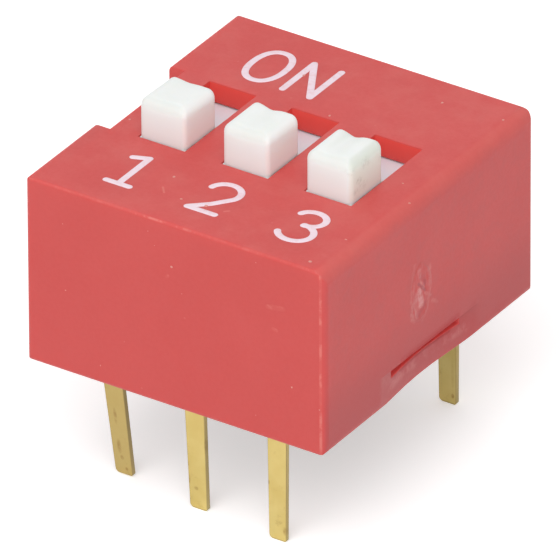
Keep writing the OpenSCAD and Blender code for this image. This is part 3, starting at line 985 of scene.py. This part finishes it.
def turned_post(middle, radii, heights, sides=48):
    """A surface of revolution about a vertical axis, from radii at given heights."""
    angle = np.linspace(0, 2 * np.pi, sides, endpoint=False)
    radius, height = np.array(radii)[:, None], np.array(heights)[:, None]
    x = middle[0] + radius * np.cos(angle)
    y = middle[1] + radius * np.sin(angle)
    return np.stack([x, y, height + 0 * angle], axis=2)


def levels_of(points):
    """The different heights at which a piece has points, from the lowest."""
    return np.unique(points[:, 2].round(3))


def slider(n):
    """The rounded blocks and the post of one slider, from the CAD piece's own levels."""
    points = actuators[n]
    knob_low, knob_high = knobs[n]
    low, high = span_of(points)
    plate = points[abs(points[:, 1] - low[1]) < 0.001]
    plate_low, plate_high = span_of(plate)
    plate_x = span_of(points[points[:, 2] < TOP])
    block = points[(points[:, 2] < plate_low[2] - 0.5) & (points[:, 2] > low[2] + 0.15)]
    block_low, block_high = span_of(block)
    knob_foot = np.array([*knob_low[:2], plate_low[2] + KNOB_FOOT_ABOVE_PLATE])
    knob = rounded_block(
        knob_foot, knob_high, KNOB_CORNER_R, KNOB_TOP_R, KNOB_FOOT_R, knob_crown(n)
    )
    inset = np.array([COLLAR_INSET, COLLAR_INSET, 0])
    collar = rounded_block(
        knob_foot + inset, np.array([*knob_high[:2], TOP - COLLAR_BELOW_TOP]) - inset,
        COLLAR_CORNER_R, (COLLAR_EDGE_R,) * 4, COLLAR_EDGE_R,
    )
    shutter = rounded_block(
        np.array([plate_x[0][0], low[1], plate_low[2]]),
        np.array([plate_x[1][0], high[1], plate_high[2]]),
        *PLATE_EDGES,
    )
    holder = rounded_block(
        block_low, np.array([*block_high[:2], plate_low[2] + BURIED]), *PLATE_EDGES
    )
    head_z, post_top = low[2] + HEAD_HEIGHT, block_low[2] + BURIED
    post = turned_post(
        knob_middle[n],
        [0, HEAD_R - 0.04, HEAD_R, HEAD_R, HEAD_R - 0.02, POST_R, POST_R, 0],
        [low[2], low[2], low[2] + 0.03, head_z - 0.02, head_z, head_z, post_top, post_top],
    )
    body = f"slider_{n}"
    grids = [knob, collar, shutter, holder]
    made = piece_from_grids(f"{body}_moulding", grids, WHITE, body)
    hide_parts(f"actuator_{n}")
    piece_from_grids(f"{body}_post", [post], WHITE, body)
    return made


sliders = [slider(n) for n in POSITIONS]
print("levels of a slider:", levels_of(actuators[1]))
print("a slider has", len(sliders[0].data.polygons), "faces")

# %% [markdown]
# ## The lettering
#
# ON stands by the far ends of the slots, and the numbers 1, 2 and 3 by the near ends. They
# are pad-printed, so each stroke has the same width and round ends, and the ink stands a
# little over a hundredth of a millimetre proud. A stroke is a low dome carried along a
# centre-line. At its ends the dome closes as half a disc.

# %% Carry a stroke
STROKE_WIDTH = 0.19
INK_HEIGHT = 0.014
INK_SUNK = 0.01


def along(points, step=0.03):
    """Points spread evenly along a chain of straight lines."""
    points = np.asarray(points, float)
    lengths = np.linalg.norm(np.diff(points, axis=0), axis=1)
    reached = np.concatenate([[0], np.cumsum(lengths)])
    stations = np.linspace(0, reached[-1], max(int(reached[-1] / step), 3))
    return np.column_stack([np.interp(stations, reached, points[:, axis]) for axis in (0, 1)])


def ellipse(middle, half_x, half_y, start, end, power=2.0, steps=48):
    """Part of a superellipse, from one angle to another in degrees.

    x = half_x * |cos|^(2 / power) with the sign of the cosine, and y is the same with sine.
    A power of 2 is a plain ellipse, and a larger one has squarer shoulders.
    """
    angle = np.radians(np.linspace(start, end, steps))
    cosine, sine = np.cos(angle), np.sin(angle)
    x = half_x * np.sign(cosine) * abs(cosine) ** (2 / power)
    y = half_y * np.sign(sine) * abs(sine) ** (2 / power)
    return np.column_stack([middle[0] + x, middle[1] + y])


def stroke(path, width=STROKE_WIDTH, closed=False):
    """A low dome of ink along a path that lies on the cover's top.

    Across the stroke the section is half an ellipse over a flat foot. Along it, the end rings
    sit at reach * sin(turn) past the last point and shrink with cos(turn).
    """
    across = np.linspace(0, np.pi, 9)
    side = np.concatenate([np.cos(across), [-1, 1]]) * width / 2
    rise = np.concatenate([np.sin(across) * INK_HEIGHT, [-INK_SUNK, -INK_SUNK]])
    shrink = np.ones(len(path))
    if closed:
        path = np.vstack([path[:-1], path[:1]])
        tangent = np.roll(path[:-1], -1, axis=0) - np.roll(path[:-1], 1, axis=0)
        tangent = np.vstack([tangent, tangent[:1]])
    else:
        tangent = np.gradient(path, axis=0)
    tangent /= np.linalg.norm(tangent, axis=1)[:, None]
    if not closed:
        turn = np.linspace(0, np.pi / 2, 7)[1:]
        reach = (np.sin(turn) * width / 2)[:, None]
        before = path[0] - reach[::-1] * tangent[0]
        after = path[-1] + reach * tangent[-1]
        shrink = np.concatenate([np.cos(turn[::-1]), shrink, np.cos(turn)])
        tangent = np.vstack([
            np.tile(tangent[0], (len(turn), 1)), tangent, np.tile(tangent[-1], (len(turn), 1)),
        ])
        path = np.vstack([before, path, after])
    normal = np.column_stack([-tangent[:, 1], tangent[:, 0]])
    flat = path[:, None] + normal[:, None] * (shrink[:, None] * side)[:, :, None]
    z = TOP + np.where(rise > 0, rise * shrink[:, None], rise)
    return np.concatenate([flat, z[:, :, None]], axis=2)


print("a stroke of two points is a grid of", stroke(along([[0, 0], [1, 0]])).shape)

# %% [markdown]
# ## Drawing the characters
#
# Every character is a few straight runs and arcs. Across the switch each is placed from the
# middle of a knob, so the print moves with the pitch. It sits a little to the right of the
# knobs, as a print does that was set down slightly out of line. The N is three strokes, whose
# round ends fill its corners.

# %% Print the characters
ON_LOW, ON_HIGH = 2.335, 3.85
DIGIT_LOW, DIGIT_HIGH = -3.99, -2.46


def letter_o(middle):
    """One closed superellipse."""
    oval = ellipse((middle, (ON_LOW + ON_HIGH) / 2 + 0.01), 0.49, 0.78, 0, 360, 2.25, 96)
    return [stroke(oval, closed=True)]


def letter_n(left, right):
    """Two uprights and the slope between them."""
    chain = [[left, ON_LOW], [left, ON_HIGH], [right, ON_LOW], [right, ON_HIGH]]
    return [stroke(along(chain[:2])), stroke(along(chain[1:3])), stroke(along(chain[2:]))]


def digit_1(middle):
    """A stem with a flag and a foot."""
    stem = along([[middle, DIGIT_HIGH - 0.03], [middle, DIGIT_LOW + 0.03]])
    flag = along([[middle, DIGIT_HIGH - 0.03], [middle - 0.41, DIGIT_HIGH - 0.19]])
    serif = along([[middle - 0.37, DIGIT_LOW + 0.03], [middle + 0.33, DIGIT_LOW + 0.03]])
    return [stroke(stem), stroke(flag), stroke(serif)]


def digit_2(middle):
    """An open bowl that runs through a neck to the foot, and a base."""
    bowl = ellipse((middle, DIGIT_HIGH - 0.42), 0.44, 0.41, 170, -28)
    foot = [[middle - 0.44, DIGIT_LOW + 0.04]]
    neck = (bowl[-1] + foot[0]) / 2 + np.array([0.05, -0.03])
    chain = np.vstack([bowl, neck, foot])
    base = along([[middle - 0.44, DIGIT_LOW + 0.03], [middle + 0.39, DIGIT_LOW + 0.03]])
    return [stroke(along(chain)), stroke(base)]


def digit_3(middle):
    """Two open bowls, one on the other."""
    upper = ellipse((middle - 0.03, DIGIT_HIGH - 0.36), 0.41, 0.355, 160, -90)
    lower = ellipse((middle - 0.02, DIGIT_LOW + 0.42), 0.48, 0.42, 90, -155)
    return [stroke(along(upper)), stroke(along(lower))]


first, second, third = (knob_middle[n][0] for n in POSITIONS)
letters = {
    "print_on": letter_o(first + 0.176) + letter_n(first + 1.095, first + 1.931),
    "print_1": digit_1(first + 0.176),
    "print_2": digit_2(second + 0.185),
    "print_3": digit_3(third + 0.27),
}
for name, strokes in letters.items():
    piece_from_grids(name, strokes, INK, "root")
print("printed", ", ".join(letters))

# %% [markdown]
# ## The sealing resin
#
# The epoxy was poured over the upturned base and crept a little way up the cover's walls and
# the legs before it set. A height over a grid gives that: the surface is level, and close to
# a wall or a leg it rises as an exponential curve.

# %% Pour the resin
CREEP = 0.09
CREEP_REACH = 0.12
LEG_FOOT_REACH = 0.35
RESIN_GRID = (150, 170)


def creep_height(x, y, legs_at):
    """How far the resin stands out from its level face at points under the base.

    The distance is that to the nearest wall or leg, and the rise is the creep times
    exp(-distance / reach).
    """
    to_wall = np.minimum(
        np.minimum(x - RESIN_LOW[0], RESIN_HIGH[0] - x),
        np.minimum(y - RESIN_LOW[1], RESIN_HIGH[1] - y),
    )
    to_legs = np.min([
        np.hypot(
            np.maximum(abs(x - leg[0]) - leg[2], 0), np.maximum(abs(y - leg[1]) - leg[3], 0)
        )
        for leg in legs_at
    ], axis=0)
    return CREEP * np.exp(-np.minimum(to_wall, to_legs) / CREEP_REACH)


def legs_through_resin():
    """The middle and half size of each leg where it passes through the resin."""
    found = []
    for row in ("front", "rear"):
        for n in POSITIONS:
            points = points_of(f"terminal_{row}_{n}")
            low, high = span_of(points[abs(points[:, 2]) < LEG_FOOT_REACH])
            middle, half = (low + high) / 2, (high - low) / 2
            found.append((middle[0], middle[1], half[0], half[1]))
    return found


def resin_shell():
    """The level face with its creep, and a plain back, as one closed grid.

    Each row runs over the face and back over the plain side. At both ends the rows shrink to
    their own middle, which closes the shell.
    """
    size = RESIN_HIGH - RESIN_LOW
    across, down = (
        RESIN_LOW[axis] + size[axis] * np.linspace(0, 1, RESIN_GRID[axis]) for axis in (0, 1)
    )
    x, y = np.meshgrid(across, down, indexing="ij")
    face = np.stack([x, y, RESIN_LOW[2] - creep_height(x, y, legs_through_resin())], axis=2)
    back = np.stack([x, y, RESIN_HIGH[2] + 0 * x], axis=2)
    shell = np.concatenate([face, back[:, ::-1]], axis=1)
    first, last = (
        np.repeat(row.mean(axis=1, keepdims=True), shell.shape[1], axis=1)
        for row in (shell[:1], shell[-1:])
    )
    return np.concatenate([first, shell, last])


resin = piece_from_grids("resin_pour", [resin_shell()], RESIN, "root")
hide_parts("sealing_resin")
lowest = min(vertex.co.z for vertex in resin.data.vertices)
print("the resin's lowest point in mm:", round(lowest / MM, 3))

# %% [markdown]
# ## The base and the springs
#
# The base shows only through the latch windows, and the springs only with the cover off. Their
# CAD shapes are right as they are, so they keep them and get their finishes.

# %% Finish what stays as it is
kept = {"base": BLACK} | {f"contact_spring_{n}": SPRING for n in POSITIONS}
for node, finish in kept.items():
    materials = frame["nodes"][node].data.materials
    materials.clear()
    materials.append(finish)
print("finished the base and", len(POSITIONS), "springs")

# %% [markdown]
# ## The gate mark
#
# The melt entered the mould through the end wall by position 3. Where the gate was broken off
# the plastic is torn: a rough oval with a raised, broken rim, paler in streaks than the skin
# round it. It is a thin patch of relief over the wall, which sinks into it at its border.

# %% Tear off the gate
GATE_PROUD = 0.012
GATE_ROUGH = 0.012
GATE_SUNK = 0.02
RIM_HEIGHT = 0.012
RIM_AT, RIM_WIDTH = 0.84, 0.08
BORDER_WIDTH = 0.08


def ripple(first, second, seed):
    """A smooth rough height: a sum of waves whose directions and phases are seeded."""
    random = np.random.default_rng(seed)
    total = 0 * first
    for pitch in (3.0, 5.5, 9.0, 15.0):
        angle, phase = random.uniform(0, np.pi), random.uniform(0, 2 * np.pi)
        along_wave = first * np.cos(angle) + second * np.sin(angle)
        total = total + np.sin(pitch * along_wave + phase) / pitch**0.6
    return total


def gate_patch():
    """A disc of rings: share is 0 in the middle and 1 at the border.

    The height is the ripple inside, a ring shaped ridge near the border, and falls below
    the wall at the border itself.
    """
    share = np.linspace(0, 1, 40)[:, None]
    angle = np.linspace(0, 2 * np.pi, 96, endpoint=False)[None, :]
    wobble = 1 + 0.05 * np.sin(3 * angle + 1) + 0.04 * np.sin(5 * angle)
    y = GATE_MIDDLE[0] + GATE_HALF[0] * share * wobble * np.cos(angle)
    z = GATE_MIDDLE[1] + GATE_HALF[1] * share * wobble * np.sin(angle)
    rough = GATE_ROUGH * ripple(4 * (y - GATE_MIDDLE[0]), 3 * (z - GATE_MIDDLE[1]), 11)
    broken = 0.5 + 0.5 * np.sin(2 * angle + 0.6) * np.sin(7 * angle)
    rim = RIM_HEIGHT * broken * np.exp(-(((share - RIM_AT) / RIM_WIDTH) ** 2))
    border = np.clip((share - 1) / BORDER_WIDTH + 1, 0, 1) ** 2
    height = (GATE_PROUD + rough + rim) * (1 - border) - GATE_SUNK * border
    return np.stack([COVER_HIGH[0] + height, y + 0 * z, z], axis=2)


gate = piece_from_grids("gate_mark", [gate_patch()], RED, "root")
print("the gate mark has", len(gate.data.polygons), "faces")

# %% [markdown]
# ## Dust
#
# Under a strong lens every real part carries a little dust. Each mote is a flattened ball of
# a few dozen faces. The larger ones sit at listed places on the top and the front, and a
# seeded scatter adds smaller ones to the front. They are tinted by the red under them.

# %% Scatter the dust
TOP_MOTES = [
    (4.2, 4.06), (2.41, 3.95), (4.38, -0.69), (4.07, -3.19), (-1.34, -2.92), (-0.57, -3.75),
    (0.15, -3.7), (3.77, -0.04), (0.33, 1.83), (-1.35, 3.2), (-3.9, -1.1), (3.9, -4.6),
]
FRONT_MOTES = [(-0.09, 4.22), (-2.3, 0.57), (3.56, 1.82), (4.4, 1.42)]
SCATTER = 8
SOFT_EDGE_R = 0.42


def mote_grid(rows=7, columns=10):
    """A unit ball as a grid of rings from pole to pole."""
    rise = np.linspace(-np.pi / 2, np.pi / 2, rows)[:, None]
    angle = np.linspace(0, 2 * np.pi, columns, endpoint=False)[None, :]
    x, y = np.cos(rise) * np.cos(angle), np.cos(rise) * np.sin(angle)
    return np.stack([x, y, np.sin(rise) + 0 * angle], axis=2)


def top_height(x):
    """How high the top stands at x: level, then a quarter circle down to the end wall."""
    past = max(x - (COVER_HIGH[0] - SOFT_EDGE_R), 0)
    return TOP - SOFT_EDGE_R + (SOFT_EDGE_R**2 - past**2) ** 0.5


def dust():
    """Every mote's grid: the ball times its size, flattened against its face, and moved."""
    random = np.random.default_rng(5)
    front = COVER_LOW[1]
    places = [(x, y, top_height(x), 2) for x, y in TOP_MOTES]
    places += [(x, front, z, 1) for x, z in FRONT_MOTES]
    x = random.uniform(COVER_LOW[0] + 0.8, COVER_HIGH[0] - 0.6, SCATTER)
    z = random.uniform(0.4, TOP - 0.3, SCATTER)
    places += [(a, front, b, 1) for a, b in zip(x, z)]
    sizes = np.concatenate([
        random.uniform(0.028, 0.046, len(TOP_MOTES)),
        random.uniform(0.018, 0.03, len(FRONT_MOTES)),
        random.uniform(0.008, 0.02, SCATTER),
    ])
    ball = mote_grid()
    grids = []
    for (x, y, z, axis), size in zip(places, sizes):
        squeeze = size * random.uniform(0.7, 1.3, 3)
        squeeze[axis] = 0.4 * size
        grids.append(ball * squeeze + np.array([x, y, z]))
    return grids


def dust_grey():
    """Pale dust, tinted by the cover."""
    finish = Finish("dust_grey")
    tone = finish.noise(12.0).ramp(0.3, 0.7)
    colour = finish.mix(tone, paint(222, 158, 148), paint(212, 132, 124))
    return finish.done(Base_Color=colour, Roughness=0.7)


motes = piece_from_grids("dust", dust(), dust_grey(), "root")
print("the dust has", len(motes.data.polygons), "faces")

# %% [markdown]
# ## Floor, sky and lamp
#
# The switch stands on a white floor under an even white sky, as in a light tent, and a large
# soft lamp above the front gives the three faces their slightly different levels. Both floor
# and sky show as white: they are brighter for the rays that show a background, which go
# straight to the camera, are mirrored or pass through something clear. So the shadow stays,
# and the switch gets no more diffuse light, though its gold mirrors the brighter floor.

# %% Light the scene
SKY_LEVEL = 0.56
LAMP_LEVEL = 0.64
FLOOR_GLOW = 0.4
LAMP_DISTANCE = 250 * MM
LAMP_SIZE = 240 * MM
LAMP_TOWARDS = (0.18, -0.6, 0.78)
FLOOR_HALF = 3.0


def seen_rays(base):
    """1 for rays that show a background: straight to the camera, mirrored or let through."""
    kinds = ("Is Camera Ray", "Is Glossy Ray", "Is Transmission Ray")
    camera_ray, glossy, clear = (base.node("LightPath", output=kind) for kind in kinds)
    return camera_ray.most(glossy).most(clear)


def white_floor():
    """A diffuse white, with some white light added for the rays that show a background."""
    finish = Finish("white_floor")
    grain = finish.noise(0.05).ramp(0.2, 0.8)
    colour = finish.mix(grain, paint(243, 243, 243), paint(246, 246, 246))
    matt = finish.base.node("BsdfDiffuse", inputs={"Color": colour})
    glow = finish.base.node("Emission", inputs={"Color": (1, 1, 1, 1), "Strength": FLOOR_GLOW})
    glowing = finish.base.node("MixShader", inputs={0: seen_rays(finish.base), 2: glow})
    both = finish.base.node("AddShader", inputs={0: matt, 1: glowing})
    finish.base.node("OutputMaterial", inputs={"Surface": both})
    return finish.material


floor_z = cad_box[0][2]
corners = [(-1, -1), (1, -1), (1, 1), (-1, 1)]
floor_mesh = bpy.data.meshes.new("floor")
floor_points = [(a * FLOOR_HALF, b * FLOOR_HALF, floor_z) for a, b in corners]
floor_mesh.from_pydata(floor_points, [], [range(4)])
floor_mesh.materials.append(white_floor())
floor = bpy.data.objects.new("floor", floor_mesh)
bpy.context.scene.collection.objects.link(floor)

world = bpy.data.worlds.new("light_tent")
world.use_nodes = True
world.node_tree.nodes.clear()
sky = Wire(world.node_tree)
strength = seen_rays(sky) * (1 - SKY_LEVEL) + SKY_LEVEL
shade = sky.node("Background", inputs={"Color": (1, 1, 1, 1), "Strength": strength})
sky.node("OutputWorld", inputs={"Surface": shade})
bpy.context.scene.world = world

lamp = bpy.data.objects.new("lamp", bpy.data.lights.new("lamp", "AREA"))
towards = LAMP_TOWARDS / np.linalg.norm(LAMP_TOWARDS)
lamp.data.shape = "DISK"
lamp.data.size = LAMP_SIZE
lamp.data.energy = LAMP_LEVEL * np.pi**2 * LAMP_DISTANCE**2
side = np.cross([0.0, 0.0, 1.0], towards)
side /= np.linalg.norm(side)
lamp.matrix_world = standing(side, np.cross(towards, side), towards, towards * LAMP_DISTANCE)
bpy.context.scene.collection.objects.link(lamp)
bpy.context.scene.view_settings.view_transform = "Standard"
print("lamp energy", round(lamp.data.energy, 3), "W")
